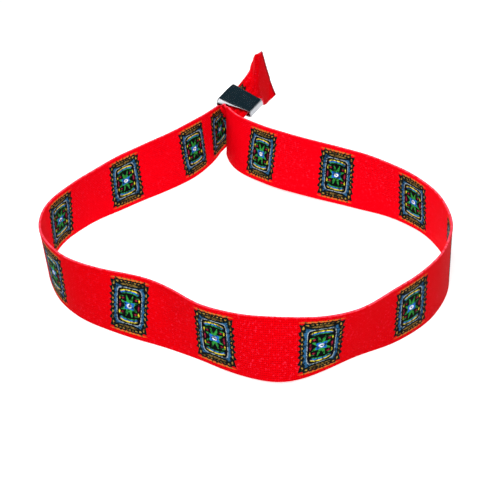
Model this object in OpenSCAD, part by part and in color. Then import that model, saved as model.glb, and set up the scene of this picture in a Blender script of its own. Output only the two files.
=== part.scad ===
// Woven wristband: one long ribbon bent into a loop that stands on its lower edge. Both ends of the
// ribbon are gathered, pass together through a flat metal clasp at the back and open out as a short tail.
// The origin is under the middle of the whole band, on the surface it stands on. +Z is up, the front of
// the loop is towards -Y, and the clasp is at the back.

/* [Ribbon] */
// Width of the ribbon between its two selvedges
ribbon_w = 15; // [13:0.5:16]
// Thickness of the woven ribbon
ribbon_t = 1; // [0.8:0.05:1.1]
// Size of the loop, as a share of the size that the loop table gives
loop_size = 1; // [0.85:0.01:1.15]

/* [Clasp] */
// Width across the flat of the clasp
clasp_w = 11; // [10:0.1:12]
// Length of the clasp along the ribbon
clasp_l = 6.2; // [5:0.1:7]
// Thickness of the clasp
clasp_h = 2.8; // [2.6:0.1:3.4]
// Thickness of its metal wall
clasp_wall = 0.45; // [0.4:0.05:0.5]
// Radius of its long rounded corners
clasp_r = 1.3; // [0.8:0.05:1.3]

/* [Hidden] */

// All places below are measured from a point near the middle of the loop, and the finished band is then
// moved so that the origin is under the middle of the whole.
// The clasp: its middle, the direction of its bore as an angle from +X, how steeply the bore climbs
// towards the tail, and how far it is rolled so that its left side is the higher one
clasp_at = [1.8, 60.4, 13.2];
clasp_heading = 41;
clasp_climb = 24;
clasp_roll = 8;
// Gap between the cloth and the metal, and between the two layers of cloth
clasp_clear = 0.12;
layer_gap = 0.2;

// The loop, seen from above and run through against the clock from beside the clasp: left, front, right.
// x and y place the middle of the ribbon's width, lift is the height of its lower edge, and lean is how
// many degrees its top edge is tipped outwards.
loop_rows = [
  // x,    y,     lift, lean
  [-14.0,  42.5,  0.0,   9],
  [-28.5,  32.5,  0.0,   3],
  [-40.5,  20.5,  0.3, -11],
  [-47.5,   7.0,  0.2,   2],
  [-39.5, -13.5,  0.0,   3],
  [-18.0, -21.0,  0.0, -26],
  [ -9.5, -31.0,  0.0,   9],
  [  7.0, -39.5,  0.8, -31],
  [ 21.5, -34.5,  0.3,  19],
  [ 32.5, -28.0,  0.0,  -1],
  [ 43.0, -19.0,  0.0,   2],
  [ 48.5,  -1.0,  0.0,  -1],
  [ 42.5,  14.5,  0.5,  -6],
  [ 30.0,  25.5,  0.3,  10],
  [ 15.0,  33.0,  1.0,  12],
  [  4.5,  42.5,  0.5,  15]];

// Where the ribbon leaves the loop for the clasp. x, y and z place the middle of its width, lean is how far
// its top edge is tipped from upright, toward is the direction it is tipped in as an angle from +X, and
// gather runs from 0, full width, to 1, the width that fits the clasp.
left_rows = [
  // x,    y,    z,    lean, toward, gather
  [-6.6,  51.5,  7.6,   4,   140,   0.0],
  [-4.1,  56.4,  7.5,  -6,   143,   0.0],
  [-3.2,  59.0,  7.7,   8,   139,   0.2],
  [-2.7,  59.1,  8.7,  48,   140,   0.9]];
right_rows = [
  // x,    y,    z,    lean, toward, gather
  [-0.7,  49.7,  7.2,   8,    37,   0.0],
  [-2.5,  54.7,  7.8,   3,    36,   0.0],
  [-2.4,  56.7,  8.1,  -4,   143,   0.0],
  [-1.1,  56.8,  9.1,  31,   126,   0.3],
  [-0.6,  56.9, 11.3,  52,   133,   0.8]];
// The tail beyond the clasp, where both layers open out again to the cut end
tail_rows = [
  // x,    y,    z,    lean, toward, gather
  [ 6.4,  65.2, 14.8,  10,   138,   0.3],
  [ 9.1,  67.8, 17.5,  17,   222,   0.0]];
// The layer from the left side of the loop is cut this many stations short of the other one's end
left_short = 4;

// Pleats of the tail: where each lies across the width beside the clasp and at the cut end, from 0 at the
// lower edge to 1 at the upper, how high it stands above the face, and how broad it is
pleats = [
  // at_clasp, at_end, height, breadth
  [0.29, 0.95,  1.7, 0.17],
  [0.47, 1.10, -0.5, 0.12]];

// Rows inside the clasp, as a share of its length apart, and the mesh: stations between two rows, and
// panels across the width
clasp_row_step = 0.36;
ring_steps = 5;
across = 12;

function unit(v) = v / norm(v);
function tip(lean, toward) = [sin(lean) * cos(toward), sin(lean) * sin(toward), cos(lean)];

// The clasp's own directions: along its bore, across to its right side, and out of its upper flat
bore = [cos(clasp_heading) * cos(clasp_climb), sin(clasp_heading) * cos(clasp_climb), sin(clasp_climb)];
level_side = [sin(clasp_heading), -cos(clasp_heading), 0];
side = cos(clasp_roll) * level_side - sin(clasp_roll) * cross(level_side, bore);

slot_w = clasp_w - 2 * clasp_wall - 2 * clasp_clear - clasp_r;
layer_t = (clasp_h - 2 * clasp_wall - 2 * clasp_clear - layer_gap) / 2;

// Every row in full: the middle of the width, the vector from the lower to the upper edge, the thickness,
// how far the layer is set off from the middle of the pair, and how far the tail has opened
function width_of(gather) = ribbon_w + (slot_w - ribbon_w) * gather;
function thick_of(gather) = ribbon_t + (layer_t - ribbon_t) * gather;
function full(at, way, gather, paired, open) =
  concat(at, way * width_of(gather), [thick_of(gather), paired * (thick_of(gather) + layer_gap) / 2, open]);

anchor = clasp_at - bore * clasp_l / 2;
function grown(x, y) = [anchor[0] + (x - anchor[0]) * loop_size, anchor[1] + (y - anchor[1]) * loop_size];
loop_xy = concat([[left_rows[0][0], left_rows[0][1]]], [for (r = loop_rows) grown(r[0], r[1])],
                 [[right_rows[0][0], right_rows[0][1]]]);
loop_full = [for (i = [0:len(loop_rows) - 1])
  let (way = loop_xy[i + 2] - loop_xy[i], lean = loop_rows[i][3],
       up = tip(lean, atan2(-way[0], way[1])))
  full([loop_xy[i + 1][0], loop_xy[i + 1][1], loop_rows[i][2] + ribbon_w / 2 * up[2]], up, 0, 0, 0)];
function free_end(rows, paired) =
  [for (i = [0:len(rows) - 1]) let (r = rows[i])
    full([r[0], r[1], r[2]], tip(r[3], r[4]), r[5], paired, paired * (i + 1) / len(rows))];
in_clasp = [for (d = [-2:2]) full(clasp_at + bore * clasp_l * clasp_row_step * d, -side, 1, 1, 0)];
right_end = concat(in_clasp, free_end(tail_rows, 1));
left_end = [for (r = right_end) concat([for (k = [0:7]) r[k]], [-r[8]])];
function backwards(list) = [for (i = [len(list) - 1:-1:0]) list[i]];

all_full = concat(backwards(left_end), backwards(free_end(left_rows, 0)), loop_full,
                  free_end(right_rows, 0), right_end);

// A smooth curve through the rows: each station blends four neighbouring rows
function blend(t) =
  [pow(1 - t, 3), 3 * pow(t, 3) - 6 * t * t + 4, -3 * pow(t, 3) + 3 * t * t + 3 * t + 1, pow(t, 3)] / 6;
function stations(rows) =
  let (n = len(rows), ext = concat([2 * rows[0] - rows[1]], rows, [2 * rows[n - 1] - rows[n - 2]]))
  [for (i = [0:n - 2], k = [0:ring_steps - (i == n - 2 ? 0 : 1)])
    blend(k / ring_steps) * [ext[i], ext[i + 1], ext[i + 2], ext[i + 3]]];

function at_of(s) = [s[0], s[1], s[2]];
function width_vec(s) = [s[3], s[4], s[5]];

// How high the pleats stand at a place across the width, once the tail has opened that far
function sum_of(list) = list * [for (v = list) 1];
function pleat(u, open) =
  let (far = abs(open))
  sign(open) * sin(180 * far) *
    sum_of([for (p = pleats) p[2] * exp(-pow((u - p[0] - (p[1] - p[0]) * far) / p[3], 2))]);

// The middle surface as a grid, one line of points across the width for each station. Both layers of
// the clasp and the tail share it.
strip = stations(all_full);
last_line = len(strip) - 1;
function middle_line(j) =
  let (s = strip[j], along = at_of(strip[min(j + 1, last_line)]) - at_of(strip[max(j - 1, 0)]),
       out = unit(cross(along, width_vec(s))))
  [for (k = [0:across]) let (u = k / across) at_of(s) + width_vec(s) * (u - 0.5) + out * pleat(u, s[8])];
grid = [for (j = [0:last_line]) middle_line(j)];

// A point this far out of the middle surface, square to it
function off(j, k, far) =
  let (along = grid[min(j + 1, last_line)][k] - grid[max(j - 1, 0)][k],
       up = grid[j][min(k + 1, across)] - grid[j][max(k - 1, 0)])
  grid[j][k] + unit(cross(along, up)) * far;
// One closed ring round the ribbon: up its outer face and down its inner face
function ring(j) =
  let (half = strip[j][6] / 2, layer = strip[j][7])
  concat([for (k = [0:across]) off(j, k, layer + half)], [for (k = [across:-1:0]) off(j, k, layer - half)]);
rings = [for (j = [left_short:last_line]) ring(j)];
points = [for (r = rings) for (p = r) p];
function low(axis) = min([for (p = points) p[axis]]);
function high(axis) = max([for (p = points) p[axis]]);
base = [(low(0) + high(0)) / 2, (low(1) + high(1)) / 2, low(2)];

module ribbon() {
  size = 2 * (across + 1);
  n = len(rings) - 1;
  sides = [for (j = [0:n - 1], k = [0:size - 1])
    let (a = j * size + k, b = j * size + (k + 1) % size)
    each [[a, b, b + size], [a, b + size, a + size]]];
  cap_a = [for (k = [0:across - 1]) let (a = k, b = size - 1 - k)
    each [[a, b, b - 1], [a, b - 1, a + 1]]];
  cap_b = [for (f = cap_a) [f[0], f[2], f[1]] + [n, n, n] * size];
  color("red") translate(-base) polyhedron(points, concat(sides, cap_a, cap_b));
}

// A flat bar outline with round corners
module rounded(w, h, r) {
  square([w - 2 * r, h], center = true);
  square([w, h - 2 * r], center = true);
  for (x = [-1, 1], y = [-1, 1]) translate([x * (w / 2 - r), y * (h / 2 - r)]) circle(r, $fn = 32);
}

module clasp() {
  color("silver") translate(clasp_at - base) rotate([0, 0, clasp_heading]) rotate([0, -clasp_climb, 0])
    rotate([clasp_roll, 0, 0]) rotate([90, 0, 90])
    translate([0, 0, -clasp_l / 2]) linear_extrude(clasp_l) difference() {
      rounded(clasp_w, clasp_h, clasp_r);
      rounded(clasp_w - 2 * clasp_wall, clasp_h - 2 * clasp_wall, clasp_r - clasp_wall);
    }
}

ribbon();
clasp();
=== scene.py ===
import math

import bpy
import numpy as np
from mathutils import Matrix, Vector


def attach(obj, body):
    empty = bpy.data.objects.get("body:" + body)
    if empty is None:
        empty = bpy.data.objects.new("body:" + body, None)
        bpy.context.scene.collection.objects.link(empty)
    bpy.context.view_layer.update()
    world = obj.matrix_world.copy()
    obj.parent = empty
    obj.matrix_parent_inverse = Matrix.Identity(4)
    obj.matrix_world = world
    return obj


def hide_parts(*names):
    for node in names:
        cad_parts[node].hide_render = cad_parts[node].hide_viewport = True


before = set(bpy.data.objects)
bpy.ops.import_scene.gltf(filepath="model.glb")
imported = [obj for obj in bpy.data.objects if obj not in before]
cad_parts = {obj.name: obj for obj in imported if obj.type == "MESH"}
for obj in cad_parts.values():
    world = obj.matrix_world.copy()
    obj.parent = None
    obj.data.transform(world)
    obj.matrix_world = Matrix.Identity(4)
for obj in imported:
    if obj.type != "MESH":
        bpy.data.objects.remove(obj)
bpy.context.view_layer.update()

# The ribbon: one long strip of polyester, woven 15 mm wide with a firm selvedge along both edges. It is
# bent into the loop. Both its ends are gathered, go through the clasp one over the other and open out
# as the tail. Lengths are in millimetres until the mesh is made.
MM = 0.001
ribbon_w = 15.0
ribbon_t = 0.52
pressed_t = 0.4  # thickness where the clasp squeezes it
layer_gap = 0.06  # between the two layers in the clasp and the tail
bowed_out = 0.2  # how far the single layer round the loop lies outside the solid's middle surface
slot_w = 8.56  # room across the inside of the clasp, its wall, clearance and round corners taken off

clasp_at = np.array([1.8, 60.4, 13.2])
clasp_l = 6.2
clasp_row_step = 0.36  # rows inside the clasp, as a share of its length apart
clasp_heading, clasp_climb, clasp_roll = np.radians([41, 24, 8])

# Places are measured from a point near the middle of the loop, as in the solid under the cloth.
loop_rows = [
    # x, y, lift of the lower edge, lean of the upper edge outwards in degrees
    (-14.0, 42.5, 0.0, 9),
    (-28.5, 32.5, 0.0, 3),
    (-40.5, 20.5, 0.3, -11),
    (-47.5, 7.0, 0.2, 2),
    (-39.5, -13.5, 0.0, 3),
    (-18.0, -21.0, 0.0, -26),
    (-9.5, -31.0, 0.0, 9),
    (7.0, -39.5, 0.8, -31),
    (21.5, -34.5, 0.3, 19),
    (32.5, -28.0, 0.0, -1),
    (43.0, -19.0, 0.0, 2),
    (48.5, -1.0, 0.0, -1),
    (42.5, 14.5, 0.5, -6),
    (30.0, 25.5, 0.3, 10),
    (15.0, 33.0, 1.0, 12),
    (4.5, 42.5, 0.5, 15),
]
left_rows = [
    # x, y, z, lean, direction of the lean, gather
    (-6.6, 51.5, 7.6, 4, 140, 0.0),
    (-4.1, 56.4, 7.5, -6, 143, 0.0),
    (-3.2, 59.0, 7.7, 8, 139, 0.2),
    (-2.7, 59.1, 8.7, 48, 140, 0.9),
]
right_rows = [
    # x, y, z, lean, direction of the lean, gather
    (-0.7, 49.7, 7.2, 8, 37, 0.0),
    (-2.5, 54.7, 7.8, 3, 36, 0.0),
    (-2.4, 56.7, 8.1, -4, 143, 0.0),
    (-1.1, 56.8, 9.1, 31, 126, 0.3),
    (-0.6, 56.9, 11.3, 52, 133, 0.8),
]
tail_rows = [
    # x, y, z, lean, direction of the lean, gather
    (6.4, 65.2, 14.8, 10, 138, 0.3),
    (9.1, 67.8, 17.5, 17, 222, 0.0),
]
bore = np.array([
    math.cos(clasp_heading) * math.cos(clasp_climb),
    math.sin(clasp_heading) * math.cos(clasp_climb),
    math.sin(clasp_climb),
])
level_side = np.array([math.sin(clasp_heading), -math.cos(clasp_heading), 0])
clasp_side = math.cos(clasp_roll) * level_side - math.sin(clasp_roll) * np.cross(level_side, bore)
clasp_flat = np.cross(clasp_side, bore)


def tipped(lean, toward):
    """The unit vector that is tipped by lean degrees from upright towards the compass angle toward."""
    lean, toward = np.radians(lean), np.radians(toward)
    return np.array([np.sin(lean) * np.cos(toward), np.sin(lean) * np.sin(toward), np.cos(lean)])


def full_row(at, way, gather, paired, open_share):
    """One row of the strip: middle of the width, vector from the lower to the upper selvedge, gather, 1
    where it is one of two layers and 0 where it is single, and how far the tail has opened."""
    width = ribbon_w + (slot_w - ribbon_w) * gather
    return np.concatenate([at, np.array(way) * width, [gather, paired, open_share]])


loop_xy = np.array([left_rows[0][:2]] + [row[:2] for row in loop_rows] + [right_rows[0][:2]])
travel = loop_xy[2:] - loop_xy[:-2]
loop_full = []
for (x, y, lift, lean), (dx, dy) in zip(loop_rows, travel):
    up = tipped(lean, math.degrees(math.atan2(-dx, dy)))
    loop_full.append(full_row([x, y, lift + ribbon_w / 2 * up[2]], up, 0, 0, 0))
left_full = [full_row(r[:3], tipped(r[3], r[4]), r[5], 0, 0) for r in left_rows]
right_full = [full_row(r[:3], tipped(r[3], r[4]), r[5], 0, 0) for r in right_rows]
right_end = [
    full_row(clasp_at + bore * clasp_l * clasp_row_step * step, -clasp_side, 1, 1, 0)
    for step in range(-2, 3)
] + [
    full_row(r[:3], tipped(r[3], r[4]), r[5], 1, (i + 1) / len(tail_rows))
    for i, r in enumerate(tail_rows)
]
# The left end has the same rows. It is run through the other way, so its outer face looks the other way
# and it comes to lie under the right one. Its share of opening is marked by a minus.
left_end = [row * ([1] * 8 + [-1]) for row in right_end]
strip_rows = np.array(left_end[::-1] + left_full[::-1] + loop_full + right_full + right_end)
last_row = len(strip_rows) - 1


def smooth_rows(rows, at):
    """A uniform cubic B-spline through the rows. At each place, 0 at the first row and 1 at the next,
    four neighbouring rows are blended by (1-t)^3, 3t^3-6t^2+4, -3t^3+3t^2+3t+1 and t^3, all over 6."""
    padded = np.vstack([2 * rows[0] - rows[1], rows, 2 * rows[-1] - rows[-2]])
    i = np.minimum(at.astype(int), len(rows) - 2)
    t = at - i
    weights = [(1 - t) ** 3, 3 * t**3 - 6 * t**2 + 4, -3 * t**3 + 3 * t**2 + 3 * t + 1, t**3]
    return sum(w[:, None] * padded[i + k] for k, w in enumerate(weights)) / 6


# Stations along the strip are close together where it is gathered and wider apart round the loop. The
# lower layer of the tail is cut a little shorter than the upper one.
left_cut = 1.25  # in rows, as the four places where the steps change
fine_until, wide_from, wide_until, fine_from = 9.8, 10.8, 26.2, 27.2
wide_step, fine_step = 0.85, 0.21
trial_count = 6000
trial_at = np.linspace(left_cut, last_row, trial_count)
trial = smooth_rows(strip_rows, trial_at)
trial_s = np.concatenate([[0], np.cumsum(np.linalg.norm(np.diff(trial[:, :3], axis=0), axis=1))])
near_end = np.interp(trial_at, [fine_until, wide_from, wide_until, fine_from], [1, 0, 0, 1])
per_mm = near_end / fine_step + (1 - near_end) / wide_step
count_so_far = np.concatenate([[0], np.cumsum(np.diff(trial_s) * (per_mm[1:] + per_mm[:-1]) / 2)])
stations = int(count_so_far[-1]) + 1
at = np.interp(np.linspace(0, count_so_far[-1], stations), count_so_far, trial_at)
along_mm = np.interp(at, trial_at, trial_s)
ribbon_l = trial_s[-1]
strip = smooth_rows(strip_rows, at)
gather, paired, open_share = strip[:, 6].clip(0, 1), strip[:, 7], strip[:, 8]
# The small folds of the left end are those of the right one, mirrored.
hand = np.where(at < len(strip_rows) / 2, -1, 1)

# Points across the width are close together round the two selvedges.
selvedge_r = 0.26
flat_steps, round_steps = 72, 4
corner = selvedge_r * (1 - np.cos(np.linspace(0, math.pi / 2, round_steps + 1)))
flat_part = np.linspace(selvedge_r, ribbon_w - selvedge_r, flat_steps + 1)
across_mm = np.concatenate([corner[:-1], flat_part, ribbon_w - corner[:-1][::-1]])
u = across_mm / ribbon_w
from_edge = np.minimum(across_mm, ribbon_w - across_mm)

# Small folds where the cloth is gathered. They wander a little across the width, and in the tail they
# fade out below its ridge.
fold_count, fold_height, loose_fold = 4, 0.3, 0.12
fold_drift, drift_l = 0.08, 2.3
smooth_by = 0.3  # how far the tail has opened when its lower part is smooth
smooth_below, folded_above = 0.45, 0.6  # shares of the width
# Slight waves of the selvedges round the loop, which die out beside the clasp
edge_waves = [
    # length over a turn of 2 pi, start, slant across the width, share of the height
    (3.1, 0.0, 4, 1.0),
    (1.9, 1.3, -3, 0.7),
    (5.3, 0.0, 2, 0.5),
]
wave_height, wave_reach = 0.07, 2.5
still_l, wavy_left, wavy_right = 8, 26, 30  # measured from the two cut ends
# The tail is folded like a roof. Its ridge runs from the middle of the clasp to the upper corner, with one
# smooth broad side below it and a narrow side above, where two small folds run beside the ridge.
ridge_start, ridge_turn = 0.45, 0.74
ridge_height, ridge_r = 2.0, 0.6
lower_slope, upper_slope, deepest = 0.38, 1.25, 2.2
roof_from, roof_by = 0.04, 0.5  # how far the tail has opened when the roof begins and when it is whole
tail_folds = [
    # distance from the ridge at the clasp and at the cut end as a share of the width, height, breadth
    (0.20, 0.13, -0.8, 0.07),
    (0.36, 0.30, -0.4, 0.08),
]
front_up = np.array([-0.02, -0.9, 0.44])  # the way the roof is raised: towards the front and up
# Where the upper selvedge is drawn down on its way into the clasp, and let out near the cut end
tucks = [
    # place along, spread, how far
    (14.8, 2.2, 1.0),
    (294.5, 2.4, 1.9),
    (311.6, 1.4, -0.6),
]
lower_layer_tuck = 0.25  # how far the lower layer's upper selvedge is in, as a share of the width
let_down = 0.085  # how far the lower selvedge is let down, so that it stands on the paper
end_bend, bend_l = 0.5, 2.5  # how far the corners of the cut end bend to the right, over what length
to_right = np.array([1, 0, 0])


def unit(v):
    """Vectors along the last axis, each made one long."""
    return v / np.linalg.norm(v, axis=-1, keepdims=True)


def rising(x, start, end):
    """0 before start, 1 after end, and the smoothstep 3t^2-2t^3 between them."""
    t = ((x - start) / (end - start)).clip(0, 1)
    return t * t * (3 - 2 * t)


def gathers():
    """Height of the small folds: a sine across the width whose height follows gather^1.5, with a little
    more just outside the clasp, which follows (gather (1 - gather))^1.2."""
    height = fold_height * gather**1.5 + loose_fold * (gather * (1 - gather)) ** 1.2
    drift = fold_drift * np.sin(along_mm / drift_l)
    wave = np.sin(2 * math.pi * (fold_count * u[None] + drift[:, None]))
    opened = rising(np.abs(open_share), 0, smooth_by)[:, None]
    smooth_part = opened * (1 - rising(u, smooth_below, folded_above))
    return hand[:, None] * height[:, None] * wave * (1 - smooth_part)


def ripple():
    """Waves of the two selvedges: three sines along the length, faded out by an exponential towards the
    middle of the width, and by smoothsteps towards both ends."""
    s = along_mm[:, None]
    wave = sum(share * np.sin(s / length + start + slant * u) for length, start, slant, share in edge_waves)
    round_loop = rising(s, still_l, wavy_left) * rising(ribbon_l - s, still_l, wavy_right)
    return wave_height * wave * np.exp(-from_edge / wave_reach) * round_loop


def roof():
    """Height of the tail's folds. The ridge lies at ridge_start + ridge_turn * far^2 across the width. Both
    sides fall from it in straight lines, rounded at the ridge by sqrt(x^2 + r^2), and the small folds are
    bell curves. All of it grows from nothing at the clasp."""
    far = np.abs(open_share)[:, None]
    width = np.linalg.norm(strip[:, 3:6], axis=1)[:, None]
    from_ridge = u - ridge_start - ridge_turn * far**2
    slope = np.where(from_ridge < 0, lower_slope, upper_slope)
    fall = slope * (np.sqrt((from_ridge * width) ** 2 + ridge_r**2) - ridge_r)
    folds = sum(
        height * np.exp(-(((from_ridge - start - (end - start) * far) / breadth) ** 2))
        for start, end, height, breadth in tail_folds
    )
    return rising(far, roof_from, roof_by) * (ridge_height - np.minimum(fall, ridge_height + deepest) + folds)


def middle_surface():
    """The strip's middle surface: along the width vector of each station, raised square to the cloth by
    the gathers and the ripple, and in one direction by the roof. The upper selvedge is drawn down by bell
    curves beside the clasp and evenly in the tail's lower layer. The lower selvedge is let down by a
    straight line from the middle. The cut end is bent half as far in its middle as at its corners."""
    place, width = strip[:, :3], strip[:, 3:6]
    out = unit(np.cross(np.gradient(place, axis=0), width))
    rise = gathers() + ripple()
    upper_half, lower_half = (2 * u - 1).clip(0, 1), (1 - 2 * u).clip(0, 1)
    drawn_in = sum(far_in * np.exp(-(((along_mm - s) / spread) ** 2)) for s, spread, far_in in tucks)
    drawn_in = drawn_in / np.linalg.norm(width, axis=1)
    share = (u - 0.5)[None] - drawn_in[:, None] * upper_half**2
    share = share - lower_layer_tuck * np.maximum(-open_share, 0)[:, None] * upper_half
    share = share - let_down / ribbon_w * (1 - gather)[:, None] * lower_half
    flat = place[:, None] + width[:, None] * share[..., None] + out[:, None] * rise[..., None]
    bent = end_bend * rising(along_mm, ribbon_l - bend_l, ribbon_l)[:, None] * (0.5 + 0.5 * (2 * u - 1) ** 2)
    return flat + roof()[..., None] * front_up + bent[..., None] * to_right


# The two faces lie half the thickness to either side. The selvedges are rounded, with a faint bead inside.
bead_height, bead_in, bead_spread = 0.12, 0.45, 0.35
middle_grid = middle_surface()
normal = unit(np.cross(np.gradient(middle_grid, axis=0), np.gradient(middle_grid, axis=1)))
thickness = ribbon_t + (pressed_t - ribbon_t) * gather
set_off = paired * (thickness + layer_gap) / 2 + bowed_out * (1 - np.abs(paired)) * (1 - gather)
round_edge = np.sqrt(1 - (1 - np.minimum(from_edge, selvedge_r) / selvedge_r) ** 2)
bead = 1 + bead_height * np.exp(-(((from_edge - bead_in) / bead_spread) ** 2))
half_thick = thickness[:, None] / 2 * (round_edge * bead)[None]
outer_face = middle_grid + normal * (set_off[:, None] + half_thick)[..., None]
inner_face = middle_grid + normal * (set_off[:, None] - half_thick)[..., None]

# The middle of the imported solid's box gives the place of the whole in the shared frame.
base = np.array([0.855942, 14.7251, -0.133573])


def grid_quads(rows, columns, rows_close=False, columns_close=False):
    """Four-sided faces of a grid whose points are numbered row by row. They look the way of the cross
    product of the step to the next row and the step along the row. A direction that closes goes on from
    its last point to its first."""
    row = np.arange(rows if rows_close else rows - 1)[:, None]
    column = np.arange(columns if columns_close else columns - 1)
    next_row, next_column = (row + 1) % rows * columns, (column + 1) % columns
    row = row * columns
    corners = [row + column, next_row + column, next_row + next_column, row + next_column]
    return np.stack(corners, axis=-1).reshape(-1, 4)


def add_piece(name, points, faces):
    """A mesh of those points and faces, as an object that stands at the origin."""
    mesh = bpy.data.meshes.new(name)
    mesh.from_pydata(points.reshape(-1, 3).tolist(), [], faces)
    piece = bpy.data.objects.new(name, mesh)
    bpy.context.scene.collection.objects.link(piece)
    return piece


# Each station is a closed ring: up the outer face and down the inner one. The two cut ends are closed by
# faces from one side of the first and of the last ring to the other.
ring = np.concatenate([outer_face, inner_face[:, -2:0:-1]], axis=1)
ring_points = ring.shape[1]
top = len(u) - 1  # the ring's point on the upper selvedge
i = np.arange(1, top - 1)
cap_middle = np.stack([i, i + 1, ring_points - i - 1, ring_points - i], axis=-1)
cap_edges = np.array([[0, 1, ring_points - 1], [top - 1, top, top + 1]])
last_ring = (stations - 1) * ring_points
ribbon_faces = grid_quads(stations, ring_points, columns_close=True).tolist()
for cap in (cap_middle, cap_edges):
    ribbon_faces += cap.tolist() + (cap[:, ::-1] + last_ring).tolist()
cloth = add_piece("ribbon_cloth", (ring - base) * MM, ribbon_faces)
cloth.data.shade_smooth()

# The print: one badge every 22.35 mm, alike on both faces. Where the ends are gathered the cloth takes
# up its length unevenly, so the badges there lie closer to their neighbours or further off.
badge_pitch, first_badge = 22.35, 29.3
take_up = [
    # from, to, how far the print is moved along on the far side of the second place
    (25.9, 21.7, -10.35),
    (187.0, 199.0, -1.1),
    (214.0, 221.0, 1.1),
    (282.5, 288.5, -5.5),
    (295.3, 299.1, -1.3),
    (300.0, 305.0, 4.6),
]
askew_mm = 4.6  # how far the print lags at the upper selvedge behind the lower one, once in the clasp
askew_from, askew_by, askew_about = 300, 303, 0.45  # places along, and the place across that stays

# Each point carries its place on the flat cloth and its place in the print: along, across, and 1 on the
# outer face, -1 on the inner one.
weave_at = np.zeros((stations, ring_points, 3))
weave_at[..., 0] = along_mm[:, None]
weave_at[..., 1] = np.concatenate([across_mm, across_mm[-2:0:-1]])
weave_at[..., 2] = np.concatenate([[0], np.ones(top - 1), [0], -np.ones(top - 1)])
print_mm = along_mm - first_badge + sum(far * rising(along_mm, a, b) for a, b, far in take_up)
lag = askew_mm * (weave_at[..., 1] / ribbon_w - askew_about) * rising(along_mm, askew_from, askew_by)[:, None]
print_at = weave_at.copy()
print_at[..., 0] = print_mm[:, None] - lag
for name, values in (("weave_mm", weave_at), ("print_mm", print_at)):
    attribute = cloth.data.attributes.new(name, "FLOAT_VECTOR", "POINT")
    attribute.data.foreach_set("vector", values.astype(np.float32).ravel())


def linear(code):
    """An sRGB hex colour such as "c8102e" as linear red, green, blue and an alpha of one."""
    parts = [int(code[i : i + 2], 16) / 255 for i in (0, 2, 4)]
    return tuple(p / 12.92 if p <= 0.04045 else ((p + 0.055) / 1.055) ** 2.4 for p in parts) + (1,)


def new_material(name):
    """A material of that name and its node tree, which holds a Principled shader."""
    made = bpy.data.materials.new(name)
    made.use_nodes = True
    return made, made.node_tree


def fill(tree, socket, value):
    """Links the socket to another node's output or sets its value. None leaves it as it is."""
    if isinstance(value, bpy.types.NodeSocket):
        tree.links.new(value, socket)
    elif value is not None:
        socket.default_value = value


def put(tree, kind, *links, **settings):
    """Adds a shader node of that kind and returns its first output. settings are the node's own
    properties, and links fill its inputs in turn with another node's output or with a value. Those of
    MapRange are the value, the two ends it comes between, and the two ends it is brought between. Those
    of TexNoise are the place, the scale, the detail and the roughness."""
    node = tree.nodes.new("ShaderNode" + kind)
    for name, value in settings.items():
        setattr(node, name, value)
    for socket, value in zip([s for s in node.inputs if s.enabled], links):
        fill(tree, socket, value)
    return next((s for s in node.outputs if s.enabled), node)


def set_shader(tree, sockets):
    """Fills the sockets of the tree's Principled shader, each by its name."""
    for name, value in sockets.items():
        fill(tree, tree.nodes["Principled BSDF"].inputs[name], value)


# Woven polyester printed on both faces: saturated red, matt, with fine ribs along the length that catch the
# light on their tops, and painted shade where the threads dip, which darkens the red and the print. The red
# is painted deeper on the outer face than on the inner one: shade outside and light inside, on one dye.
polyester, tree = new_material("printed_woven_polyester")
# The outer face's red is darkened as painted shade, the inner face's red lightened as painted light.
painted_shade_outer_red, painted_light_inner_red = linear("ca0008"), linear("e00010")
# The deep red is painted shade in the dips of the weave, and the pale red a painted glint on the thread tops.
painted_dip_shade_red, painted_glint_red = linear("b40007"), linear("ff3c5c")
worn_red, sealed_red = linear("ff6880"), linear("5c0010")

weave = put(tree, "Attribute", attribute_name="weave_mm").node.outputs["Vector"]
along, across = put(tree, "SeparateXYZ", weave).node.outputs[:2]
printed = put(tree, "Attribute", attribute_name="print_mm").node.outputs["Vector"]
print_x, print_y, face = put(tree, "SeparateXYZ", printed).node.outputs[:3]
seen = put(tree, "TexCoord").node.outputs["Object"]

# The real threads are about 0.2 mm apart. They are drawn at about twice that, so that they show. They
# stand out less in some patches, which are a centimetre or more long.
rib_mm, pick_mm = 0.5, 0.44
thread_relief = 0.032 * MM
patches_per_mm = 0.07
ribs = put(tree, "Math", across, 2 * math.pi / rib_mm, operation="MULTIPLY")
ribs = put(tree, "Math", ribs, operation="SINE")
picks = put(tree, "Math", along, 2 * math.pi / pick_mm, operation="MULTIPLY")
picks = put(tree, "Math", picks, operation="SINE")
crossing = put(tree, "Math", picks, 0.5, 0.5, operation="MULTIPLY_ADD")
threads = put(tree, "Math", ribs, crossing, operation="MULTIPLY")
patches = put(tree, "TexNoise", seen, patches_per_mm / MM, 2.0)
patches = put(tree, "MapRange", patches, 0.42, 0.6, 0.35, 1.0)
relief = put(tree, "Math", threads, patches, operation="MULTIPLY")

# The red: painted glints where single threads catch the light, and painted shade where they dip
glints_per_mm, most_glint, most_dip_shade = 1.9, 0.4, 0.55
# Painted highlight: small pale glints scattered over the thread tops
glint_speckle = put(tree, "TexNoise", seen, glints_per_mm / MM, 3.0, 0.65)
glint_speckle = put(tree, "MapRange", glint_speckle, 0.56, 0.72, 0.0, most_glint)
glint_speckle = put(tree, "Math", glint_speckle, patches, operation="MULTIPLY")
# Mixes the two reds by face: the paler one, painted light, on the inner face.
back = put(tree, "MapRange", face, 0.3, -0.3, 0.0, 1.0)
ground = put(tree, "Mix", back, painted_shade_outer_red, painted_light_inner_red, data_type="RGBA")
ground = put(tree, "Mix", glint_speckle, ground, painted_glint_red, data_type="RGBA")
# Painted shade: the red goes deeper where the threads dip.
dip_shade_share = put(tree, "MapRange", relief, -0.2, -0.9, 0.0, most_dip_shade)
ground = put(tree, "Mix", dip_shade_share, ground, painted_dip_shade_red, data_type="RGBA")

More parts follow.
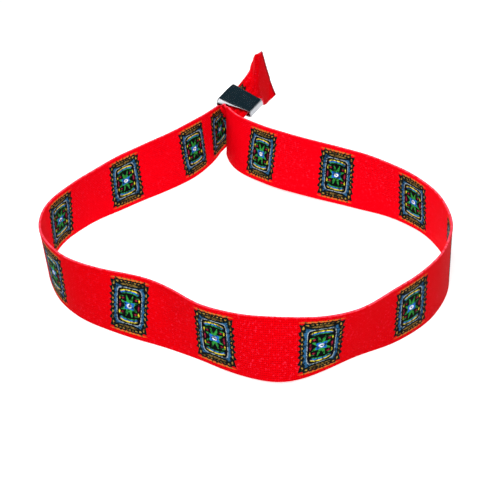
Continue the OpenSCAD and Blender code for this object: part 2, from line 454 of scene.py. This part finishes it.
# One badge: rows of plain marks, each a rounded form round its own middle, printed one over the other
# and mirrored left to right and top to bottom. The threads make their outlines waver and break them up
# with dark flecks.
inks = {
    "bottle": linear("0c1818"),
    "gold": linear("a8863a"),
    "black": linear("070b0e"),
    "slate": linear("28587e"),
    "grey": linear("a9b6bc"),
    "green": linear("2c8a38"),
    "sky": linear("1c62bc"),
    "white": linear("e6eef0"),
    "yellow": linear("d8c62a"),
    "wine": linear("8c1a34"),
    "orange": linear("c4702c"),
}
badge_marks = [
    # across, up, half width, half height, power, petals, depth of the petals, ink
    (0.0, 0.00, 4.55, 6.20, 9.0, 30, 0.42, "bottle"),
    (0.0, 6.25, 3.90, 0.17, 4.0, 0, 0.00, "orange"),
    (0.0, 0.00, 4.12, 5.70, 9.0, 0, 0.00, "gold"),
    (0.0, 0.00, 4.02, 5.58, 9.0, 34, 0.50, "bottle"),
    (0.0, 0.00, 3.62, 4.75, 8.0, 26, 0.30, "slate"),
    (0.0, 4.95, 2.70, 0.60, 2.5, 0, 0.00, "bottle"),
    (0.0, 5.00, 2.00, 0.20, 2.0, 0, 0.00, "gold"),
    (0.0, 5.00, 1.50, 0.12, 2.0, 0, 0.00, "bottle"),
    (0.0, 0.00, 3.04, 4.32, 7.0, 0, 0.00, "grey"),
    (0.0, 0.00, 2.93, 4.21, 7.0, 0, 0.00, "black"),
    (0.0, 3.35, 2.15, 0.55, 2.0, 0, 0.00, "yellow"),
    (0.0, 3.08, 2.15, 0.52, 2.0, 0, 0.00, "sky"),
    (0.0, 2.84, 1.90, 0.42, 2.0, 0, 0.00, "green"),
    (0.0, 2.56, 1.85, 0.46, 2.0, 0, 0.00, "black"),
    (0.0, 0.00, 1.35, 1.75, 2.0, 8, 0.60, "green"),
    (0.0, 0.00, 1.20, 0.85, 2.0, 4, 0.45, "sky"),
    (0.0, 0.00, 0.62, 0.48, 2.0, 0, 0.00, "white"),
    (0.0, 0.00, 0.26, 0.20, 2.0, 0, 0.00, "slate"),
    (2.3, 0.00, 0.22, 0.75, 1.6, 0, 0.00, "wine"),
    (2.35, 1.70, 0.18, 0.45, 1.4, 0, 0.00, "yellow"),
    (1.6, 1.70, 0.34, 0.26, 1.2, 0, 0.00, "wine"),
    (1.9, 2.15, 0.45, 0.13, 1.6, 0, 0.00, "green"),
]
print_blur = 0.06
wobbles_per_mm, wobble_mm = 2.6, 0.17
flecks_per_mm, most_fleck = 1.5, 0.8
wobble = put(tree, "TexNoise", seen, wobbles_per_mm / MM, 2.0).node.outputs["Color"]
spread, centred = (2 * wobble_mm, 2 * wobble_mm, 0), (-wobble_mm, -wobble_mm, 0)
wobble = put(tree, "VectorMath", wobble, spread, centred, operation="MULTIPLY_ADD")
badge_x = put(tree, "Math", print_x, badge_pitch / 2, -badge_pitch / 2, operation="WRAP")
badge_y = put(tree, "Math", print_y, ribbon_w / 2, operation="SUBTRACT")
badge_y = put(tree, "Math", badge_y, put(tree, "Math", face, operation="SIGN"), operation="MULTIPLY")
quarter = put(tree, "VectorMath", put(tree, "CombineXYZ", badge_x, badge_y), wobble, operation="ADD")
quarter = put(tree, "VectorMath", quarter, operation="ABSOLUTE")
colour = ground
masks = []
for x, y, half_w, half_h, power, petals, depth, ink in badge_marks:
    stretch, shift = (1 / half_w, 1 / half_h, 0), (-x / half_w, -y / half_h, 0)
    spot = put(tree, "VectorMath", quarter, stretch, shift, operation="MULTIPLY_ADD")
    spot = put(tree, "VectorMath", spot, operation="ABSOLUTE")
    sideways, upward = put(tree, "SeparateXYZ", spot).node.outputs[:2]
    reach = put(tree, "Math", sideways, power, operation="POWER")
    reach = put(tree, "Math", put(tree, "Math", upward, power, operation="POWER"), reach, operation="ADD")
    if petals:
        angle = put(tree, "Math", upward, sideways, operation="ARCTAN2")
        wave = put(tree, "Math", put(tree, "Math", angle, petals, operation="MULTIPLY"), operation="COSINE")
        wave = put(tree, "Math", wave, depth, 1.0, operation="MULTIPLY_ADD")
        reach = put(tree, "Math", reach, wave, operation="MULTIPLY")
    soft = power * print_blur / min(half_w, half_h)
    masks.append(put(tree, "MapRange", reach, 1 + soft, 1 - soft, 0.0, 1.0))
    colour = put(tree, "Mix", masks[-1], colour, inks[ink], data_type="RGBA")
flecks = put(tree, "TexNoise", seen, flecks_per_mm / MM, 2.0, 0.6)
flecks = put(tree, "MapRange", flecks, 0.5, 0.58, 0.0, most_fleck)
flecks = put(tree, "Math", flecks, masks[0], operation="MULTIPLY")
colour = put(tree, "Mix", flecks, colour, inks["black"], data_type="RGBA")

# Threads that dip are darker, painted shade in the hollows of the weave. The selvedge is paler where the
# print thins out on it, in dashes of about a millimetre, and the two cut ends are dark where heat has sealed
# them.
dip_shade = 0.72
worn_w, bare_w, most_worn = 0.22, 0.04, 0.7
dashes_per_mm, least_dash = 0.9, 0.1
sealed_l, burnt_l, most_sealed = 0.7, 0.1, 0.8
shade = put(tree, "MapRange", relief, -1.0, 0.1, dip_shade, 1.0)
colour = put(tree, "Mix", 1.0, colour, shade, data_type="RGBA", blend_type="MULTIPLY")
from_middle = put(tree, "Math", across, ribbon_w / 2, operation="SUBTRACT")
from_middle = put(tree, "Math", from_middle, operation="ABSOLUTE")
edge = put(tree, "MapRange", from_middle, ribbon_w / 2 - worn_w, ribbon_w / 2 - bare_w, 0.0, most_worn)
dashes = put(tree, "TexNoise", put(tree, "CombineXYZ", along, 0.0, 0.0), dashes_per_mm, 3.0, 0.7)
dashes = put(tree, "MapRange", dashes, 0.4, 0.6, least_dash, 1.0)
edge = put(tree, "Math", edge, dashes, operation="MULTIPLY")
colour = put(tree, "Mix", edge, colour, worn_red, data_type="RGBA")
from_half = put(tree, "Math", along, ribbon_l / 2, operation="SUBTRACT")
from_half = put(tree, "Math", from_half, operation="ABSOLUTE")
sealed = put(tree, "MapRange", from_half, ribbon_l / 2 - sealed_l, ribbon_l / 2 - burnt_l, 0.0, most_sealed)
colour = put(tree, "Mix", sealed, colour, sealed_red, data_type="RGBA")
set_shader(tree, {
    "Base Color": colour,
    "Normal": put(tree, "Bump", 1.0, thread_relief, None, relief),
    "Roughness": 0.62,
    "Specular IOR Level": 0.01,
    "Specular Tint": linear("ff5a78"),
    "Sheen Weight": 0.01,
    "Sheen Roughness": 0.4,
    "Sheen Tint": linear("ff3c64"),
})
cloth.data.materials.append(polyester)

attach(cloth, "root")
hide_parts("ribbon")

# The clasp: a short flat tube of aluminium, slid on and pressed flat round both layers of the ribbon. Its
# ends are round, its rims are rolled smooth, and the mouth towards the loop is flared and not quite square.
clasp_w, clasp_h, clasp_wall, clasp_r = 11.0, 2.8, 0.45, 1.0
rim_outer, rim_inner = 0.3, 0.1  # how far the rims are rounded along the outer and the inner side
rim_outer_left = 0.7  # how much further that is at the left of the near rim
bevel = 0.6  # how straight the near rim is bevelled: 0 is a quarter ellipse, 1 nearly a chamfer
mouth_in, skew = 0.1, 1.0  # how far in the mouth lies in its middle, and how far it reaches on the left
flare_l, flare_w = 1.8, 0.09  # over what length the mouth flares, and how much wider it gets, as a share
flare_right = 0.17  # how far the mouth is set to the right
flare_left_drop, flare_right_lift = 0.35, 0.21  # how far its lower side is tilted, as shares of its depth
roll_down, roll_l = 0.4, 0.9  # how far the upper lip bends down on the left, over what length
dome = 0.08  # how far both flats swell in the middle
bulge_left = 0.3  # how far its left end bulges outwards half-way along the tube
outline_steps, quarter_steps, straight_steps = 160, 9, 15


def flat_tube():
    """The wall as a closed grid. One way runs round the flat outline: a circle whose quarters are set
    apart. The other runs along the wall's own section: the outer side, a quarter ellipse to the near rim
    that is blended with a bevel, another to the inner side, the inner side back, and the same at the far
    mouth. The near rim leans in a straight line from left to right. There the outline is widened and set
    to the right, its lower side is tilted, and its upper lip is bent down on the left, by smoothsteps of
    the distance from the rim. The flats are domed and the left end bulges, by parabolas. Towards the left
    the rounding grows by the power 2.5, and the bulge by the power 4, of how far left a point lies."""
    angle = np.linspace(0, 2 * math.pi, outline_steps, endpoint=False)
    facing = np.stack([np.cos(angle), np.sin(angle)], axis=-1)
    set_apart = np.array([clasp_w / 2 - clasp_r, clasp_h / 2 - clasp_r])
    outline = np.sign(facing.round(9)) * set_apart + facing * clasp_r
    left = (1 - outline[:, 0] / (clasp_w / 2)) / 2
    bend = np.linspace(0, math.pi / 2, quarter_steps)
    straight = np.linspace(0, 1, straight_steps)
    deep = clasp_wall - rim_inner
    near_round = (rim_outer + rim_outer_left * left**2.5)[:, None]
    near = (-clasp_l / 2 + mouth_in - skew * (2 * left - 1))[:, None]
    far = np.full_like(near, clasp_l / 2)
    run = np.concatenate([
        far - rim_outer + (near + near_round - far + rim_outer) * straight,
        near + near_round - near_round * np.sin(bend[1:]),
        near + rim_inner - rim_inner * np.cos(bend[1:]),
        near + rim_inner + (far - near - 2 * rim_inner) * straight[1:],
        far - rim_inner + rim_inner * np.sin(bend[1:]),
        far - rim_outer + rim_outer * np.cos(bend[1:-1]),
    ], axis=1)
    depth = np.concatenate([
        0 * straight,
        deep * (bevel * np.sin(bend[1:]) ** 1.3 + (1 - bevel) * (1 - np.cos(bend[1:]))),
        deep + rim_inner * np.sin(bend[1:]),
        clasp_wall + 0 * straight[1:],
        clasp_wall - rim_inner * (1 - np.cos(bend[1:])),
        deep - deep * np.sin(bend[1:-1]),
    ])
    flat = outline[:, None] - facing[:, None] * depth[:, None]
    left = left[:, None]
    flare = 1 - rising(run, -clasp_l / 2, -clasp_l / 2 + flare_l)
    rolled = 1 - rising(run, -clasp_l / 2 - roll_l, -clasp_l / 2 + roll_l)
    belly = (1 - (run / clasp_l * 2) ** 2).clip(0, 1)
    inside = belly * (1 - (flat[..., 0] / clasp_w * 2) ** 2).clip(0, 1)
    sideways = flat[..., 0] * (1 + flare_w * flare) + flare_right * flare
    sideways = sideways - bulge_left * left**4 * belly
    tilt = flare_left_drop * left - flare_right_lift * (1 - left)
    upward = flat[..., 1] + np.minimum(flat[..., 1], 0) * flare * tilt
    upward = upward - roll_down * left * rolled * (flat[..., 1] > 0)
    upward = upward + dome * inside * np.sign(flat[..., 1])
    off_axis = sideways[..., None] * clasp_side + upward[..., None] * clasp_flat
    return clasp_at + off_axis + run[..., None] * bore


tube = flat_tube()
tube_faces = grid_quads(*tube.shape[:2], rows_close=True, columns_close=True)
clasp = add_piece("clasp_metal", (tube - base) * MM, tube_faces.tolist())
clasp.data.shade_smooth()

# Aluminium, drawn and polished: a clear reflection that fine scratches along the tube draw out a little,
# with a duller haze where it has been handled.
aluminium, tree = new_material("polished_aluminium")
scratches_along, scratches_across = 0.5, 9.0  # to the millimetre
scratch_relief = 0.0025 * MM
haze_per_mm = 0.42
polished, handled = 0.13, 0.24  # roughness
seen = put(tree, "TexCoord").node.outputs["Object"]
along_bore = Vector(bore.tolist()).to_track_quat("X", "Z").inverted().to_euler()
drawn = put(tree, "Mapping", seen, None, tuple(along_bore))
stretch = (scratches_along / MM, scratches_across / MM, scratches_across / MM)
scratches = put(tree, "VectorMath", drawn, stretch, operation="MULTIPLY")
scratches = put(tree, "TexNoise", scratches, 1.0, 3.0)
haze = put(tree, "TexNoise", drawn, haze_per_mm / MM, 2.0)
set_shader(tree, {
    "Base Color": put(tree, "Mix", scratches, linear("aaaeb3"), linear("c0c4c9"), data_type="RGBA"),
    "Metallic": 1.0,
    "Roughness": put(tree, "MapRange", haze, 0.35, 0.65, polished, handled),
    "Normal": put(tree, "Bump", 1.0, scratch_relief, None, scratches),
})
clasp.data.materials.append(aluminium)
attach(clasp, "root")
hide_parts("clasp")

# The surface it stands on: plain white paper that curves up into a wall a good way off, all round. It
# glows, painted light, most of all in a wide pool under the band. From here on lengths are in metres.
flat_r, curve_r, wall_z = 1.2, 0.8, 1.3
centre_r = 0.01
round_paper_steps, curve_steps = 96, 12
pool_r, pool_end_r = 0.25, 1.1
pool_light, rest_light = 0.62, 0.36


def sweep_of_paper():
    """A surface of revolution: a flat disc, a quarter circle that turns it upright, and a short wall."""
    around = np.linspace(0, 2 * math.pi, round_paper_steps, endpoint=False)
    bend = np.linspace(0, math.pi / 2, curve_steps)
    radius = np.concatenate([[centre_r, flat_r / 2], flat_r + curve_r * np.sin(bend), [flat_r + curve_r]])
    height = np.concatenate([[0, 0], curve_r * (1 - np.cos(bend)), [wall_z]])
    x, y = radius[:, None] * np.cos(around), radius[:, None] * np.sin(around)
    return np.stack(np.broadcast_arrays(x, y, height[:, None]), axis=-1)


paper_grid = sweep_of_paper()
paper_faces = grid_quads(*paper_grid.shape[:2], columns_close=True).tolist()
paper_middle = list(range(round_paper_steps))
paper = add_piece("paper", paper_grid, paper_faces + [paper_middle])
paper.data.shade_smooth()

# Matt white paper: no gloss, and a painted glow bright enough to leave no hard shadow under the band.
white_paper, tree = new_material("white_paper")
seen = put(tree, "TexCoord").node.outputs["Object"]
glow = put(tree, "VectorMath", seen, operation="LENGTH")
pool = (pool_r, pool_end_r, pool_light, rest_light)
# Painted light: the paper's glow is strongest in a pool under the band and fades further off.
glow = put(tree, "MapRange", glow, *pool, interpolation_type="SMOOTHSTEP")
set_shader(tree, {
    "Base Color": linear("c8c8c8"),
    "Roughness": 0.9,
    "Specular IOR Level": 0.1,
    "Emission Color": linear("ffffff"),
    "Emission Strength": glow,
})
paper.data.materials.append(white_paper)

# Soft light: a very dim room, a soft box close above the loop, which makes the inside of the back brighter
# than the two bends, two panels further off and a very small one for the left side of the tail. Neither
# the camera nor reflections show them.
room_light = 0.03
world = bpy.data.worlds.new("studio")
world.use_nodes = True
world.node_tree.nodes["Background"].inputs["Color"].default_value = linear("ffffff")
world.node_tree.nodes["Background"].inputs["Strength"].default_value = room_light
bpy.context.scene.world = world

soft_boxes = [
    # name, place, side of the square, watts
    ("close", (0.0, -0.14, 0.23), 0.16, 0.9),
    ("left", (-0.7, -0.2, 0.6), 0.6, 0.1),
    ("back", (-0.45, 0.25, 0.6), 0.5, 1.5),
    ("tail", (-0.05, 0.1, 0.08), 0.04, 0.08),
]
for name, place, side, watts in soft_boxes:
    place = Vector(place)
    light = bpy.data.lights.new(name, "AREA")
    light.shape = "SQUARE"
    light.size = side
    light.energy = watts
    soft_box = bpy.data.objects.new(name, light)
    towards_origin = (-place).to_track_quat("-Z", "Y").to_matrix().to_4x4()
    soft_box.matrix_world = Matrix.Translation(place) @ towards_origin
    soft_box.visible_glossy = False
    soft_box.visible_camera = False
    bpy.context.scene.collection.objects.link(soft_box)

# A dark cloth hung in an arch over the clasp. Only reflections show it, and it keeps the flat of the
# metal dark while its rounded ends mirror the white paper.
arch_r, arch_half_w = 0.3, 0.105
arch_from, arch_to, arch_heading = np.radians([-8, 166, 125])
arch_steps = 25
clasp_middle = (clasp_at - base) * MM


def only_in_reflections(piece):
    """Hides a piece from everything but reflections."""
    piece.visible_camera = False
    piece.visible_diffuse = False
    piece.visible_shadow = False
    piece.visible_transmission = False


def dark_arch():
    """Part of a cylinder round the clasp: points at arch_r from it, turned from the back by an angle, at
    two distances to the side. It looks inwards."""
    angle = np.linspace(arch_from, arch_to, arch_steps)[:, None]
    away = np.array([math.cos(arch_heading), math.sin(arch_heading), 0])
    sideways = np.array([math.sin(arch_heading), -math.cos(arch_heading), 0])
    overhead = np.array([0, 0, 1])
    middle_line = clasp_middle + arch_r * (np.cos(angle) * away + np.sin(angle) * overhead)
    to_edge = arch_half_w * sideways
    return np.stack([middle_line + to_edge, middle_line - to_edge], axis=1)


arch = add_piece("dark_arch", dark_arch(), grid_quads(arch_steps, 2).tolist())

# Felt: dull and without any gloss
felt, tree = new_material("dark_felt")
set_shader(tree, {"Base Color": linear("243840"), "Roughness": 1.0, "Specular IOR Level": 0.0})
arch.data.materials.append(felt)
only_in_reflections(arch)

# A white card held up at the left, facing the clasp. Only reflections show it, and it lights the bevel of
# the clasp's near rim, which would mirror the dim room above the wall.
card_r, card_half, card_light = 0.3, 0.09, 0.85
card_heading, card_height = np.radians([178, 31])


def white_card():
    """A square that faces the clasp, card_r away from it."""
    level = np.array([math.cos(card_heading), math.sin(card_heading), 0])
    away = level * math.cos(card_height) + np.array([0, 0, math.sin(card_height)])
    sideways = np.cross([0, 0, 1], level)
    upward = np.cross(away, sideways)
    corners = card_half * np.array([(-1, -1), (-1, 1), (1, 1), (1, -1)])
    return clasp_middle + card_r * away + corners @ np.stack([sideways, upward])


card = add_piece("white_card", white_card(), [(0, 1, 2, 3)])

# Matt white card, lit from behind
lit_card, tree = new_material("lit_card")
set_shader(tree, {
    "Base Color": linear("f6f6f6"),
    "Roughness": 0.9,
    "Emission Color": linear("ffffff"),
    "Emission Strength": card_light,
})
card.data.materials.append(lit_card)
only_in_reflections(card)

# The camera, in front of the band and above it, with a long lens. It is turned a few degrees about its own
# line of sight, as the fit to both edges of the ribbon gave it.
camera_at = Vector((0.001121, -0.233179, 0.155628))
camera_down, camera_roll = math.radians(34.32), math.radians(-3.38)
camera = bpy.data.objects.new("camera", bpy.data.cameras.new("camera"))
camera.data.lens = 83.62
camera.data.sensor_width = 36
camera.data.clip_start = 0.01
camera.data.clip_end = 20
camera.matrix_world = (
    Matrix.Translation(camera_at)
    @ Matrix.Rotation(math.pi / 2 - camera_down, 4, "X")
    @ Matrix.Rotation(camera_roll, 4, "Z")
)
bpy.context.scene.collection.objects.link(camera)
bpy.context.scene.camera = camera
bpy.context.scene.view_settings.view_transform = "Standard"
